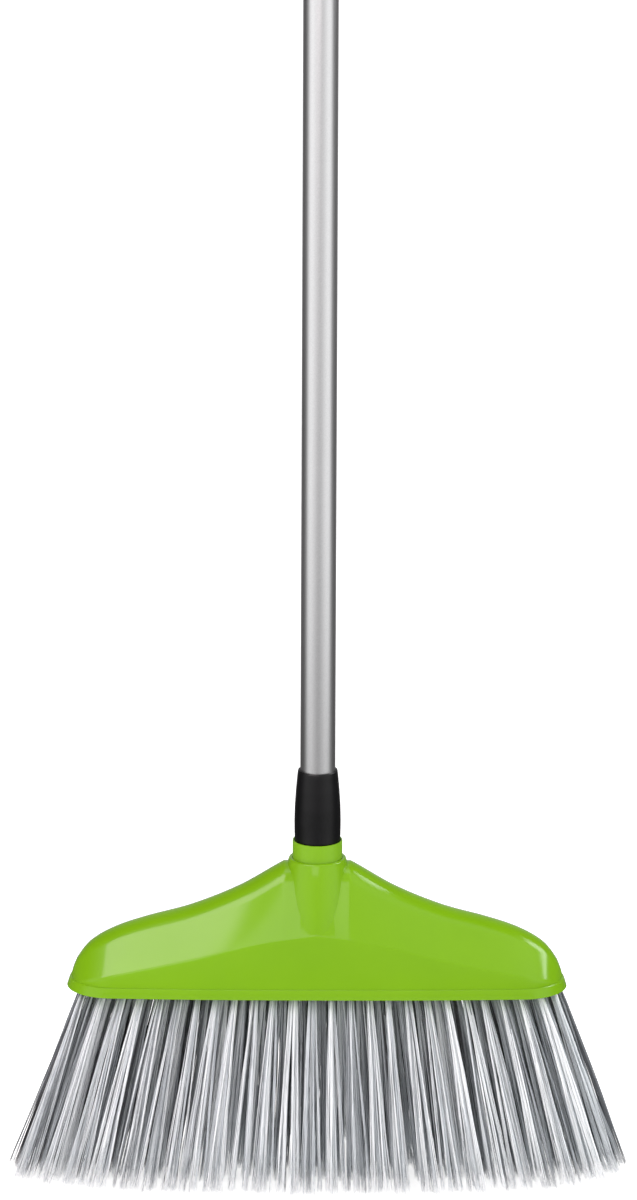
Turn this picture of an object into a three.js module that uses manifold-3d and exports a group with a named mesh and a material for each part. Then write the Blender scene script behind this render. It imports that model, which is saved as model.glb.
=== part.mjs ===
// A household broom: a moulded head with fanned bristles, a threaded neck and a screw-in metal handle.
// Millimetres, +Z up. The origin is on the floor under the handle's axis, and +X runs along the head.
import * as THREE from 'three';
import { mergeVertices } from 'three/addons/utils/BufferGeometryUtils.js';
import Module from 'manifold-3d';

const wasm = await Module();
wasm.setup();

const GAP = 0.3; // clearance between neighbouring pieces

// Head cover
const RIM_Z = 122; // height of the cover's lower edge above the floor
const HEAD_HALF_LENGTH = 157;
const RIM_HALF_DEPTH = 31;
const RIM_BOW = 4.5; // how much the rim's half-depth shrinks towards the ends
const END_ROUND = 26; // length of the rounded end, in plan
const COVER_WALL = 2.4;
const LIP_HEIGHT = 6.5;
const LIP_STEP = 0.8;
const WALL_DRAFT = 3.2; // the lower wall leans in this much between lip and crease
const RIDGE_RADIUS = 8.5;
const CREST = [[0, 213], [19, 205], [48, 188], [78, 175.3], [108, 166.8], [127, 160], [142, 150.5], [150.5, 139], [157, 124]];
const CREASE = [[0, 164], [63, 153], [106, 143], [137, 135], [150.5, 129], [157, 123]];

// Socket shroud, part of the cover
const SHROUD_TOP_Z = 207;
const SHROUD_TOP_RADIUS = 18;
const SHROUD_FOOT_Z = 164;
const SHROUD_FOOT_HALF_WIDTH = 24;
const SHROUD_FOOT_HALF_DEPTH = 26.8;

// Tuft block
const PLATE_LOW_Z = 123.5;
const PLATE_HIGH_Z = 131;
const PLATE_HALF_LENGTH = 145.5;
const PLATE_INSET = 6.4; // the plate's edge lies this far inside the rim's outer edge
const NECK_RADIUS = 15.6;
const NECK_TOP_Z = 218.5;
const NECK_RECESS = 1.8; // the ferrule's foot sits this deep inside the neck's rim
const NECK_LIP = 1;
const SOCKET_FLOOR_Z = 184;
const WEB_THICKNESS = 2.5;
const WEB_REACH = 46;
const WEB_HIGH_Z = 178;

// Screw thread between the neck and the thread adapter
const PITCH = 4.5;
const THREAD_CORE_RADIUS = 8.9;
const THREAD_CREST_RADIUS = 10.2;
const THREAD_PLAY = 0.4;
const THREAD_LOW_Z = 190;
const THREAD_SEGMENTS = 16;

// Ferrule sleeve
const SLEEVE_LOW_Z = NECK_TOP_Z - NECK_RECESS + GAP;
const SLEEVE_WIDE_Z = 231;
const SLEEVE_TOP_Z = 264.5;
const SLEEVE_FOOT_RADIUS = 14.2;
const SLEEVE_WIDE_RADIUS = 14.6;
const SLEEVE_TOP_RADIUS = 12.5;
const SLEEVE_FLOOR_Z = 225;
const SLEEVE_FLOOR_BORE = 10.6;

// Handle
const TUBE_RADIUS = 11;
const TUBE_WALL = 0.5;
const TUBE_LOW_Z = 229.5;
const TUBE_LENGTH = 1170;
const COLLAR_LOW_Z = SLEEVE_FLOOR_Z + GAP;
const PLUG_LENGTH = 45;
const CAP_RADIUS = 12.4;
const CAP_SKIRT = 40;
const CAP_EYE_HEIGHT = 34;
const CAP_EYE_HALF_THICKNESS = 5.5;
const HANG_HOLE_RADIUS = 4.75;
const HANG_HOLE_DROP = 14; // from the cap's top down to the hole's centre

// Bristles
const ROW_COUNT = 5;
const TUFTS_PER_ROW = 25;
const TUFTS_PER_GROUP = 5; // neighbouring tufts that share one solid
const ROW_STEPS = 2 * TUFTS_PER_ROW; // a valley and a peak for each tuft
const ROOT_Z = 127.5; // the tufts' upper ends, in the plate's grooves
const FLARE_Z = 120; // just below the cover's rim, where the fan is already as wide as the head
const ROOT_HALF_LENGTHS = [141.5, 137, 126]; // for the middle, next and outermost rows
const FLARE_HALF_LENGTHS = [151, 145, 132];
const TIP_HALF_LENGTHS = [197, 178, 160];
const ROOT_THICKNESS = 6.4;
const TIP_THICKNESS = 8.4;
const ROOT_FIELD_INSET = 11.2; // from the rim's edge to the outer row's centre
const TIP_FIELD_HALF_DEPTH = 50;
const TIP_FIELD_HALF_LENGTH = 197;

const ROUND = 32; // sides of a round piece
const COVER_STATIONS = 12; // cross-sections along each half of the head
const GROOVE_PLAY = 0.6; // clearance round the tufts' roots in the plate

// ---------- solids ----------

function solid(geometry) {
  const bare = geometry.index ? geometry.clone() : geometry;
  bare.deleteAttribute('normal');
  bare.deleteAttribute('uv');
  const merged = mergeVertices(bare, 1e-4);
  return new wasm.Manifold(new wasm.Mesh({
    numProp: 3,
    vertProperties: new Float32Array(merged.attributes.position.array),
    triVerts: new Uint32Array(merged.index.array),
  }));
}

function geometryOf(manifold) {
  const mesh = manifold.getMesh();
  const geometry = new THREE.BufferGeometry();
  geometry.setAttribute('position', new THREE.BufferAttribute(new Float32Array(mesh.vertProperties), 3));
  geometry.setIndex(new THREE.BufferAttribute(new Uint32Array(mesh.triVerts), 1));
  geometry.computeVertexNormals();
  return geometry;
}

// A closed body through rings of points: each ring holds the same number of points, all turning alike.
function loft(rings) {
  const count = rings[0].length;
  const last = rings.length - 1;
  const positions = rings.flat().flatMap((p) => [p.x, p.y, p.z]);
  const index = [];
  for (let r = 0; r < last; r += 1) {
    for (let i = 0; i < count; i += 1) {
      const a = r * count + i;
      const b = r * count + ((i + 1) % count);
      index.push(a, b, b + count, a, b + count, a + count);
    }
  }
  capRing(rings[0], 0, true, index);
  capRing(rings[last], last * count, false, index);
  const geometry = new THREE.BufferGeometry();
  geometry.setAttribute('position', new THREE.Float32BufferAttribute(positions, 3));
  geometry.setIndex(index);
  return geometry;
}

// Closes one end ring, which is flat and may be concave.
function capRing(ring, offset, reversed, index) {
  const flat = flattened(ring);
  const clockwise = THREE.ShapeUtils.isClockWise(flat);
  for (const [a, b, c] of THREE.ShapeUtils.triangulateShape(flat, [])) {
    const ahead = clockwise === reversed;
    index.push(offset + a, offset + (ahead ? b : c), offset + (ahead ? c : b));
  }
}

// Drops the coordinate along which the ring is thinnest, keeping a right-handed pair.
function flattened(ring) {
  const size = new THREE.Box3().setFromPoints(ring).getSize(new THREE.Vector3());
  if (size.x <= Math.min(size.y, size.z)) return ring.map((p) => new THREE.Vector2(p.y, p.z));
  if (size.y <= size.z) return ring.map((p) => new THREE.Vector2(p.z, p.x));
  return ring.map((p) => new THREE.Vector2(p.x, p.y));
}

function lathe(profile, sides = ROUND) {
  const points = profile.map(([radius, z]) => new THREE.Vector2(radius, z));
  return new THREE.LatheGeometry(points, sides).rotateX(Math.PI / 2);
}

function cylinder(radius, low, high, sides = ROUND) {
  return lathe([[0, low], [radius, low], [radius, high], [0, high]], sides);
}

function box(x, y, z, centre) {
  return new THREE.BoxGeometry(x, y, z).translate(...centre);
}

function part(name, geometry, material) {
  const mesh = new THREE.Mesh(geometry, material);
  mesh.name = name;
  return mesh;
}

// ---------- outlines ----------

// A smooth curve through [x, height] points, read at any x.
function heightAt(points, x) {
  const slopes = points.map((p, i) => {
    const before = points[Math.max(i - 1, 0)];
    const after = points[Math.min(i + 1, points.length - 1)];
    return (after[1] - before[1]) / (after[0] - before[0]);
  });
  let i = 0;
  while (i < points.length - 2 && x > points[i + 1][0]) i += 1;
  const [x0, y0] = points[i];
  const [x1, y1] = points[i + 1];
  const span = x1 - x0;
  const t = THREE.MathUtils.clamp((x - x0) / span, 0, 1);
  const rise = (2 * t ** 3 - 3 * t ** 2 + 1) * y0 + (3 * t ** 2 - 2 * t ** 3) * y1;
  return rise + span * ((t ** 3 - 2 * t ** 2 + t) * slopes[i] + (t ** 3 - t ** 2) * slopes[i + 1]);
}

// The rim's half-depth at a place along the head: a gentle bow that closes in a rounded end.
function rimHalfDepth(x) {
  const along = Math.abs(x) / HEAD_HALF_LENGTH;
  const into = Math.max(0, Math.abs(x) - (HEAD_HALF_LENGTH - END_ROUND)) / END_ROUND;
  return (RIM_HALF_DEPTH - RIM_BOW * along ** 2.5) * Math.sqrt(Math.max(0, 1 - into ** 2));
}

function tipFieldHalfDepth(x) {
  const along = Math.min(1, Math.abs(x) / TIP_FIELD_HALF_LENGTH);
  return TIP_FIELD_HALF_DEPTH * (1 - along ** 2.6) ** 0.55;
}

// ---------- head cover ----------

// The front half of the cover's cross-section as [half-depth, height], from the rim up to the ridge.
function coverHalfSection(x, inset) {
  const ridge = heightAt(CREST, x) - inset;
  const depth = Math.max(rimHalfDepth(x) - inset, 1.2);
  const low = inset > 0 ? RIM_Z - 1 : RIM_Z;
  const squeeze = depth / RIM_HALF_DEPTH;
  const lip = Math.min(RIM_Z + LIP_HEIGHT, ridge - 1.5);
  const stepped = depth - LIP_STEP * squeeze;
  const crease = Math.max(Math.min(heightAt(CREASE, x) - inset / 2, ridge - 0.8), lip + 0.5);
  const creaseDepth = stepped - WALL_DRAFT * squeeze;
  const radius = Math.min(RIDGE_RADIUS - inset / 2, creaseDepth * 0.6, (ridge - crease) * 0.9);
  const lean = Math.atan2(ridge - crease, creaseDepth - radius * 0.5);
  const section = [[depth, low], [depth, lip - 0.4], [stepped, lip], [creaseDepth, crease]];
  const arcSteps = 3;
  for (let i = arcSteps; i >= 0; i -= 1) {
    const turn = (lean * i) / arcSteps;
    section.push([radius * Math.sin(turn), ridge - radius * (1 - Math.cos(turn))]);
  }
  return section;
}

function coverRing(x, inset) {
  const half = coverHalfSection(Math.abs(x), inset);
  const back = half.slice(0, -1).map(([y, z]) => new THREE.Vector3(x, y, z));
  const front = half.map(([y, z]) => new THREE.Vector3(x, -y, z)).reverse();
  return [...back, ...front];
}

// Places along the head where the cross-section is taken, closer together towards the rounded ends.
function coverStations(inset) {
  const end = HEAD_HALF_LENGTH - inset;
  const stations = [];
  const count = inset > 0 ? COVER_STATIONS - 3 : COVER_STATIONS;
  for (let i = -count; i <= count; i += 1) {
    stations.push(end * Math.sin((Math.PI / 2) * (i / count)));
  }
  return stations;
}

function coverBody(inset) {
  return solid(loft(coverStations(inset).map((x) => coverRing(x, inset))));
}

function shroud(inset) {
  const rings = [];
  const steps = 4;
  for (let s = 0; s <= steps; s += 1) {
    const down = s / steps;
    const z = THREE.MathUtils.lerp(SHROUD_TOP_Z, SHROUD_FOOT_Z, down) - (inset > 0 && s === steps ? 6 : 0);
    const wide = THREE.MathUtils.lerp(SHROUD_TOP_RADIUS, SHROUD_FOOT_HALF_WIDTH, down) - inset;
    const deep = THREE.MathUtils.lerp(SHROUD_TOP_RADIUS, SHROUD_FOOT_HALF_DEPTH, down) - inset;
    rings.unshift(ellipse(wide, deep, z));
  }
  return solid(loft(rings));
}

function ellipse(wide, deep, z) {
  const ring = [];
  for (let i = 0; i < ROUND; i += 1) {
    const turn = (2 * Math.PI * i) / ROUND;
    ring.push(new THREE.Vector3(wide * Math.cos(turn), deep * Math.sin(turn), z));
  }
  return ring;
}

function headCover() {
  const above = solid(box(400, 200, 40, [0, 0, SHROUD_TOP_Z + 20]));
  const outside = coverBody(0).add(shroud(0)).subtract(above);
  const hollow = coverBody(COVER_WALL).add(shroud(COVER_WALL + 0.6));
  const roof = solid(box(400, 200, 40, [0, 0, SHROUD_TOP_Z - COVER_WALL + 20]));
  const mouth = solid(cylinder(NECK_RADIUS + GAP, RIM_Z, SHROUD_TOP_Z + 10));
  return geometryOf(outside.subtract(hollow.subtract(roof)).subtract(mouth));
}

// ---------- screw thread ----------

// A screw: its radius repeats the given [share of pitch, radius] points as it winds upwards.
function screw(profile, low, high) {
  const perTurn = profile.length;
  const start = PITCH * (Math.floor(low / PITCH) - 2); // a whole turn, so that all threads are in step
  const turns = Math.ceil((high - low) / PITCH) + 4;
  const rows = turns * perTurn;
  const vertexAt = (j, i) => {
    const turn = j / THREAD_SEGMENTS;
    const [share, radius] = profile[i % perTurn];
    const z = start + PITCH * (Math.floor(i / perTurn) + share + turn);
    const angle = 2 * Math.PI * turn;
    return [radius * Math.cos(angle), radius * Math.sin(angle), z];
  };
  const positions = [];
  for (let j = 0; j < THREAD_SEGMENTS; j += 1) {
    for (let i = 0; i <= rows + perTurn; i += 1) positions.push(...vertexAt(j, i));
  }
  const stride = rows + perTurn + 1;
  const id = (j, i) => (j < THREAD_SEGMENTS ? j * stride + i : i + perTurn);
  const index = [];
  for (let j = 0; j < THREAD_SEGMENTS; j += 1) {
    for (let i = 0; i < rows; i += 1) {
      index.push(id(j, i), id(j + 1, i), id(j + 1, i + 1), id(j, i), id(j + 1, i + 1), id(j, i + 1));
    }
  }
  const foot = positions.length / 3;
  positions.push(0, 0, start - PITCH);
  const head = positions.length / 3;
  positions.push(0, 0, start + PITCH * (turns + 2));
  for (let j = 0; j < THREAD_SEGMENTS; j += 1) {
    index.push(foot, id(j + 1, 0), id(j, 0));
    index.push(head, id(j, rows), id(j + 1, rows));
  }
  for (let i = 0; i < perTurn; i += 1) {
    index.push(foot, i, i + 1);
    index.push(head, rows + i + 1, rows + i);
  }
  const geometry = new THREE.BufferGeometry();
  geometry.setAttribute('position', new THREE.Float32BufferAttribute(positions, 3));
  geometry.setIndex(index);
  const trim = cylinder(2 * THREAD_CREST_RADIUS, low, high);
  return solid(geometry).intersect(solid(trim));
}

function threadProfile(play) {
  const core = THREAD_CORE_RADIUS + play;
  const crest = THREAD_CREST_RADIUS + play;
  const flank = play / PITCH;
  return [[0.05 - flank / 2, core], [0.3 - flank / 2, crest], [0.55 + flank / 2, crest], [0.8 + flank / 2, core]];
}

// ---------- tuft block ----------

function plateHalfDepth(x) {
  return Math.max(rimHalfDepth(x) - PLATE_INSET, 1);
}

function plateOutline() {
  const front = [];
  const count = 12;
  for (let i = -count; i <= count; i += 1) {
    const x = PLATE_HALF_LENGTH * Math.sin((Math.PI / 2) * (i / count));
    front.push([x, -plateHalfDepth(x)]);
  }
  const back = front.map(([x, y]) => [x, -y]).reverse();
  return [...front, ...back];
}

function plate() {
  const rings = [PLATE_LOW_Z, PLATE_HIGH_Z].map((z) => plateOutline().map(([x, y]) => new THREE.Vector3(x, y, z)));
  return solid(loft(rings));
}

// A web that stiffens the neck along one direction, thinner at its top.
function web(alongX) {
  const height = WEB_HIGH_Z - PLATE_HIGH_Z + 1;
  const reach = alongX ? WEB_REACH : NECK_RADIUS + 6;
  const outline = new THREE.Shape([
    new THREE.Vector2(-reach, 0), new THREE.Vector2(reach, 0),
    new THREE.Vector2(NECK_RADIUS - 2, height), new THREE.Vector2(2 - NECK_RADIUS, height),
  ]);
  const slab = new THREE.ExtrudeGeometry(outline, { depth: WEB_THICKNESS, bevelEnabled: false });
  slab.translate(0, 0, -WEB_THICKNESS / 2).rotateX(Math.PI / 2);
  if (!alongX) slab.rotateZ(Math.PI / 2);
  return solid(slab.translate(0, 0, PLATE_HIGH_Z - 1));
}

function tuftBlock() {
  const neck = solid(cylinder(NECK_RADIUS, PLATE_HIGH_Z - 1, NECK_TOP_Z));
  const thread = screw(threadProfile(THREAD_PLAY), SOCKET_FLOOR_Z, NECK_TOP_Z + 1);
  const mouth = solid(cylinder(NECK_RADIUS - NECK_LIP, NECK_TOP_Z - NECK_RECESS, NECK_TOP_Z + 1));
  let block = plate().add(neck).add(web(true)).add(web(false)).subtract(thread).subtract(mouth);
  for (let row = 0; row < ROW_COUNT; row += 1) {
    block = block.subtract(rowSolid(row, grooveSteps(), GROOVE_PLAY));
  }
  return geometryOf(block);
}

// ---------- bristles ----------

// One level of a row, from one step along it to another, bowed like the rim above and the fan below.
// The plain outline is used for the grooves in the plate, and the scalloped one for the tufts.
function rowRing(row, steps, z, halfLength, grow) {
  const side = row - (ROW_COUNT - 1) / 2;
  const away = Math.abs(side);
  const down = 1 - z / ROOT_Z;
  const half = THREE.MathUtils.lerp(ROOT_THICKNESS, TIP_THICKNESS, down) / 2 + grow;
  const front = [];
  const back = [];
  steps.forEach((step, i) => {
    const along = (2 * step) / ROW_STEPS - 1;
    const rootY = rimHalfDepth(along * ROOT_HALF_LENGTHS[away]) - ROOT_FIELD_INSET;
    const tipY = tipFieldHalfDepth(along * TIP_HALF_LENGTHS[away]) - TIP_THICKNESS / 2;
    const inward = grow > 0 ? 0 : [GAP / 2, 0][Math.min(i, 1)] - [GAP / 2, 0][Math.min(steps.length - 1 - i, 1)];
    const x = along * (halfLength + grow) + inward;
    const y = (side / 2) * THREE.MathUtils.lerp(rootY, tipY, down);
    const scallop = step === 0 || step === ROW_STEPS ? 0.5 : [0.72, 1][step % 2];
    const reach = half * (grow > 0 ? 1 : scallop);
    front.push(new THREE.Vector3(x, y - reach, z));
    back.unshift(new THREE.Vector3(x, y + reach, z));
  });
  return [...front, ...back];
}

// Part of a row, from its roots in the plate to the floor.
function rowSolid(row, steps, grow) {
  const away = Math.abs(row - (ROW_COUNT - 1) / 2);
  return solid(loft([
    rowRing(row, steps, 0, TIP_HALF_LENGTHS[away], grow),
    rowRing(row, steps, FLARE_Z, FLARE_HALF_LENGTHS[away], grow),
    rowRing(row, steps, ROOT_Z + grow, ROOT_HALF_LENGTHS[away], grow),
  ]));
}

// Every second step of a whole row, which is enough for a groove.
function grooveSteps() {
  return Array.from({ length: TUFTS_PER_ROW + 1 }, (_, i) => 2 * i);
}

function groupSteps(group) {
  const first = 2 * TUFTS_PER_GROUP * group;
  return Array.from({ length: 2 * TUFTS_PER_GROUP + 1 }, (_, i) => first + i);
}

// ---------- ferrule and handle ----------

function ferruleSleeve() {
  const bore = TUBE_RADIUS + GAP;
  return lathe([
    [SLEEVE_FLOOR_BORE, SLEEVE_LOW_Z], [SLEEVE_FOOT_RADIUS - 0.5, SLEEVE_LOW_Z],
    [SLEEVE_FOOT_RADIUS, SLEEVE_LOW_Z + 0.5], [SLEEVE_WIDE_RADIUS, SLEEVE_WIDE_Z],
    [14.2, 242], [13.2, 256], [SLEEVE_TOP_RADIUS, SLEEVE_TOP_Z - 0.4], [SLEEVE_TOP_RADIUS - 0.4, SLEEVE_TOP_Z],
    [bore, SLEEVE_TOP_Z], [bore, SLEEVE_FLOOR_Z], [SLEEVE_FLOOR_BORE, SLEEVE_FLOOR_Z],
    [SLEEVE_FLOOR_BORE, SLEEVE_LOW_Z],
  ]);
}

function threadAdapter() {
  const thread = screw(threadProfile(0), THREAD_LOW_Z, SLEEVE_LOW_Z + 2);
  const shank = solid(cylinder(THREAD_CREST_RADIUS, SLEEVE_LOW_Z + 1.5, COLLAR_LOW_Z + 1));
  const plugRadius = TUBE_RADIUS - TUBE_WALL - GAP;
  const collarTop = TUBE_LOW_Z - GAP;
  const plugTop = TUBE_LOW_Z + PLUG_LENGTH;
  const plug = solid(lathe([
    [0, COLLAR_LOW_Z], [TUBE_RADIUS, COLLAR_LOW_Z], [TUBE_RADIUS, collarTop], [plugRadius, collarTop],
    [plugRadius, plugTop - 2], [plugRadius - 1.5, plugTop], [0, plugTop],
  ]));
  const core = solid(cylinder(5, THREAD_LOW_Z - 1, plugTop - 3, 24));
  return geometryOf(thread.add(shank).add(plug).subtract(core));
}

function handleTube() {
  const inner = TUBE_RADIUS - TUBE_WALL;
  const top = TUBE_LOW_Z + TUBE_LENGTH;
  return lathe([
    [inner, TUBE_LOW_Z], [TUBE_RADIUS, TUBE_LOW_Z], [TUBE_RADIUS, top], [inner, top], [inner, TUBE_LOW_Z],
  ]);
}

function hangCap() {
  const tubeTop = TUBE_LOW_Z + TUBE_LENGTH;
  const low = tubeTop - CAP_SKIRT;
  const top = tubeTop + CAP_EYE_HEIGHT;
  const shoulder = tubeTop + 4;
  const dome = [[0, low], [CAP_RADIUS - 0.6, low], [CAP_RADIUS, low + 0.8], [CAP_RADIUS, shoulder]];
  const steps = 6;
  for (let i = 1; i <= steps; i += 1) {
    const turn = (Math.PI / 2) * (i / steps);
    dome.push([i === steps ? 0 : CAP_RADIUS * Math.cos(turn), top - CAP_RADIUS * (1 - Math.sin(turn))]);
  }
  let cap = solid(lathe(dome)).subtract(solid(cylinder(TUBE_RADIUS + GAP, low - 1, tubeTop + GAP)));
  for (const side of [-1, 1]) {
    const cheek = box(60, 20, 60, [0, side * (CAP_EYE_HALF_THICKNESS + 10), shoulder + 33]);
    cap = cap.subtract(solid(cheek));
  }
  const hole = cylinder(HANG_HOLE_RADIUS, -20, 20, 24).rotateX(Math.PI / 2).translate(0, 0, top - HANG_HOLE_DROP);
  return geometryOf(cap.subtract(solid(hole)));
}

// ---------- materials ----------

const coverGreen = new THREE.MeshStandardMaterial({ color: 0x8abf26, roughness: 0.22, metalness: 0 });
const blockGreen = new THREE.MeshStandardMaterial({ color: 0x84b626, roughness: 0.35, metalness: 0 });
const bristleGrey = new THREE.MeshStandardMaterial({ color: 0xaeb6bb, roughness: 0.6, metalness: 0 });
const satinBlack = new THREE.MeshStandardMaterial({ color: 0x1f1e21, roughness: 0.42, metalness: 0 });
const innerBlack = new THREE.MeshStandardMaterial({ color: 0x19191b, roughness: 0.5, metalness: 0 });
const satinMetal = new THREE.MeshStandardMaterial({ color: 0xb9babc, roughness: 0.36, metalness: 0.9 });

// ---------- assembly ----------

const head = new THREE.Group();
head.add(part('head_cover', headCover(), coverGreen));
head.add(part('tuft_block', tuftBlock(), blockGreen));
for (let row = 0; row < ROW_COUNT; row += 1) {
  for (let group = 0; group < TUFTS_PER_ROW / TUFTS_PER_GROUP; group += 1) {
    const tufts = rowSolid(row, groupSteps(group), 0);
    head.add(part(`tufts_row_${row + 1}_group_${group + 1}`, geometryOf(tufts), bristleGrey));
  }
}

const handle = new THREE.Group();
handle.add(part('thread_adapter', threadAdapter(), innerBlack));
handle.add(part('handle_tube', handleTube(), satinMetal));
handle.add(part('hang_cap', hangCap(), satinBlack));

const broom = new THREE.Group();
broom.add(head);
broom.add(part('ferrule_sleeve', ferruleSleeve(), satinBlack));
broom.add(handle);

export default broom;
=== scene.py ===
"""A household broom: glossy green head, fanned grey bristles, black ferrule and a satin metal handle."""

import math
import random

import bmesh
import bpy
from mathutils import Matrix, Vector
from mathutils.geometry import delaunay_2d_cdt


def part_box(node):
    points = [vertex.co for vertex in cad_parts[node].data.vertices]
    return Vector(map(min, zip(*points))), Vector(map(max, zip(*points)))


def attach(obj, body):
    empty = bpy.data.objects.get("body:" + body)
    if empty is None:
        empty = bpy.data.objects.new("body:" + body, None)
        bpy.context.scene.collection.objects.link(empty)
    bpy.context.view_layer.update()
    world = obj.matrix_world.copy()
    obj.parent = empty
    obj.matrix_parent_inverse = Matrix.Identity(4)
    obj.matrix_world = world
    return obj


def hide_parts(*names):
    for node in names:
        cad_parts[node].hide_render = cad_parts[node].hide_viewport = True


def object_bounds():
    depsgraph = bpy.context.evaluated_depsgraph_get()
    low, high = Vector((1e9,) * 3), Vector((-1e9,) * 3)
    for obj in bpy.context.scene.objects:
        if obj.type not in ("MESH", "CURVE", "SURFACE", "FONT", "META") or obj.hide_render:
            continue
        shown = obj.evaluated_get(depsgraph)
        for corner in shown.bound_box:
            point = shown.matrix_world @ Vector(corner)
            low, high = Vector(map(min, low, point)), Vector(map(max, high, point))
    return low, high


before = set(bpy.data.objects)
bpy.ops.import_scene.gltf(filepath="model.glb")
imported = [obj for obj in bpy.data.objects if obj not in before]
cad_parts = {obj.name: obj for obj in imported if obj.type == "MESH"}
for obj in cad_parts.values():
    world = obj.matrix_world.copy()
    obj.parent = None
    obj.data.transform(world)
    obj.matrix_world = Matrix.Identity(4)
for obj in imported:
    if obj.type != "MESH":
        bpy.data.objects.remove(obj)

CAD_BOX = [[float(v) for v in corner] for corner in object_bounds()]
MM = 0.001
SCENE = bpy.context.scene

# ---------------------------------------------------------------- sizes, in millimetres

# Head cover. Its rim is rounded at both ends, and its long sides bow in a little towards them.
COVER_LOW, COVER_HIGH = (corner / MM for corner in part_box("head_cover"))
RIM_Z = COVER_LOW.z
HALF_LENGTH = COVER_HIGH.x
RIM_HALF_DEPTH = COVER_HIGH.y
RIM_BOW = 4.5
RIM_BOW_POWER = 2.5
END_ROUND = 26.0
WALL = 2.4

# The lip round the cover's foot, and the body above it.
LIP_HEIGHT = 6.6
LIP_STEP = 0.8
LIP_END_SLANT = 2.0
LIP_LEAST_DEPTH = 0.9
BODY_FOOT_Z = RIM_Z + 1
BODY_HALF_LENGTH = HALF_LENGTH - LIP_END_SLANT
BODY_LEAST_DEPTH = 0.5
WALL_DRAFT = 3.2
FOOT_RADIUS = 0.4
CREASE_RADIUS = 6.0
CREASE_DROP = 0.8
CREASE_LEAST_RISE = 1.5
RIDGE_RADIUS = 17.0
RIDGE_STEPS = 10
RIDGE_DROP = 3.0

# The heights of the ridge and of the crease below it, as (x, z) points from the middle to the end.
CREST = [(0, 213), (19, 205), (48, 188), (78, 175.3), (108, 166.8),
         (127, 160), (142, 151), (150, 141), (153.2, 133.5), (154.9, 126.5)]
CREASE = [(0, 163), (40, 157), (75, 148), (106, 141), (137, 134), (150.5, 129), (157, 123)]

# The shroud widens downwards from a round top to an oval foot.
SHROUD_TOP_Z = COVER_HIGH.z
SHROUD_TOP_RADIUS = 18.0
SHROUD_FOOT_Z = 164.0
SHROUD_FOOT_HALF_WIDTH = 24.0
SHROUD_FOOT_HALF_DEPTH = 26.8
SHROUD_FLARE = 0.72
SHROUD_ROUND = 1.1
SHROUD_PLAY = 0.1
SHROUD_CHAMFER = 0.2

NECK_RADIUS = 15.6
NECK_TOP_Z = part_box("tuft_block")[1].z / MM
NECK_LOW_Z = 190.0
NECK_RECESS = 1.8
NECK_LIP = 1.0

PLATE_LOW_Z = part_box("tuft_block")[0].z / MM
PLATE_THICKNESS = 4.5
PLATE_SIDE_PLAY = 0.5
PLATE_END_PLAY = 1.2
PLATE_LEAST_DEPTH = 0.6
RECESS_LOW_Z = RIM_Z - 2
RECESS_TOP_Z = PLATE_LOW_Z + PLATE_THICKNESS + 0.2
RECESS_LEAST_DEPTH = 0.4
TUFT_HOLE_RADIUS = 2.6
TUFT_HOLE_SIDES = 12
# A triangle whose middle is nearer to a hole's middle than this lies in the hole.
TUFT_HOLE_REACH = 2.4

# The thread's section over one pitch, as (share of the pitch, share of the thread's height).
PITCH = 4.5
THREAD_PROFILE = ((0.05, 0.0), (0.3, 1.0), (0.55, 1.0), (0.8, 0.0), (1.05, 0.0))
THREAD_CORE = 8.9
THREAD_CREST = 10.2
THREAD_PLAY = 0.4
THREAD_SIDES = 64
THREAD_STEP = 0.4
THREAD_LEAD = 3.0
THREAD_LOW_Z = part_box("thread_adapter")[0].z / MM
SPIGOT_BORE_RADIUS = 5.0
SPIGOT_BORE_DEPTH = 8.0

SLEEVE_LOW_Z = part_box("ferrule_sleeve")[0].z / MM
SLEEVE_TOP_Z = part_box("ferrule_sleeve")[1].z / MM
SLEEVE_FOOT_BORE = 10.7
SLEEVE_FOOT_DEPTH = 9.0
SLEEVE_PLAY = 0.15

TUBE_LOW_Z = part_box("handle_tube")[0].z / MM
TUBE_TOP_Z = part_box("handle_tube")[1].z / MM
TUBE_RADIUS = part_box("handle_tube")[1].x / MM
TUBE_WALL = 0.5
TUBE_STEPS = 12
PLUG_PLAY = 0.1
PLUG_LENGTH = 45.0
PLUG_CHAMFER_LENGTH = 2.0
PLUG_CHAMFER_DEPTH = 1.5

CAP_LOW_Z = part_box("hang_cap")[0].z / MM
CAP_TOP_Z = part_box("hang_cap")[1].z / MM
CAP_RADIUS = 12.4
CAP_PLAY = 0.12
CAP_DOME_STEPS = 14
CAP_CELL = 0.45
EYE_HALF_THICKNESS = 5.5
HOLE_RADIUS = 4.75
HOLE_DROP = 14.0

# The field of tufts. The half lengths are those of the middle row, the next ones and the outer ones.
ROWS = 5
TUFTS = 25
GROUPS = 5
FIELD_HALF_LENGTH = CAD_BOX[1][0] / MM
FIELD_HALF_DEPTH = CAD_BOX[1][1] / MM + 2
FIELD_POWER = 3.2
ROOT_HALF_LENGTHS = (149.0, 149.0, 148.0)
TIP_HALF_LENGTHS = (195.0, 189.0, 187.0)
ROW_STAGGERS = (-0.25, 0.25, 0.0, 0.5, -0.12)
ROOT_INSET = 11.2
ROOT_SHORTENING = 0.985
TIP_INSET = 1.5


# ---------------------------------------------------------------- helpers

def linear(red, green, blue):
    """A colour given in screen values of 0 to 255, as Blender's linear RGBA."""
    def one(v):
        v /= 255
        return v / 12.92 if v <= 0.04045 else ((v + 0.055) / 1.055) ** 2.4
    return (one(red), one(green), one(blue), 1.0)


def shaded(colour, shade):
    """A colour made darker or lighter."""
    return tuple(c * shade for c in colour[:3]) + (1.0,)


def lerp(a, b, t):
    return a + (b - a) * t


def smoothstep(low, high, value):
    t = min(max((value - low) / (high - low), 0.0), 1.0)
    return t * t * (3 - 2 * t)


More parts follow.
